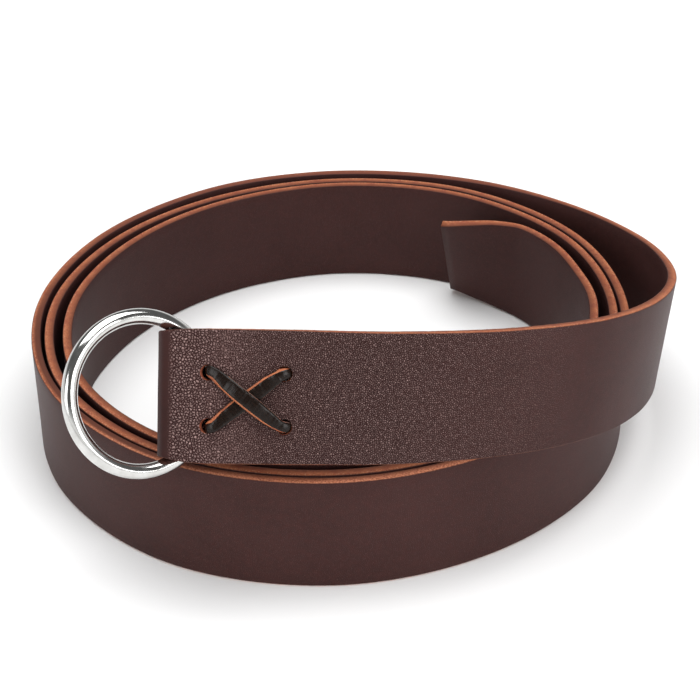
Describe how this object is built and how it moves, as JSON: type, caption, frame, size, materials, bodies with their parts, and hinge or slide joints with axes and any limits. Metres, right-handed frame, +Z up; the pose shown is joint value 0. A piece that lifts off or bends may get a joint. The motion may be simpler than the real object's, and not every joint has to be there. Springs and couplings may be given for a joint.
{
  "type": "leather belt with ring",
  "caption": "Long plain leather strap lying as a loose round coil on its edge, one end folded round a steel ring and laced shut with a crossed leather lace.",
  "frame": {"origin": "centre of the bounding box at its lowest level, which is the floor that the coil stands on", "axes": "+X to the right along the longest extent, +Y to the back, away from the ring end, and +Z up"},
  "size_m": [0.2122, 0.2098, 0.0848],
  "materials": {
    "strap_leather": "satin dark brown with pebbled grain, raw orange-brown cut edges",
    "ring_steel": "polished",
    "lace_leather": "satin near black with orange-brown cut edges"
  },
  "bodies": {
    "strap": {"strap": "strap_leather", "cross_lace": "lace_leather"},
    "ring": {"ring": "ring_steel"}
  },
  "joints": [
    {"name": "ring_turn", "type": "hinge", "parent": "strap", "child": "ring", "pos_m": [-0.06013, -0.08733, 0.06313], "axis": [0.5425, -0.708, 0.4522], "continuous": true}
  ]
}
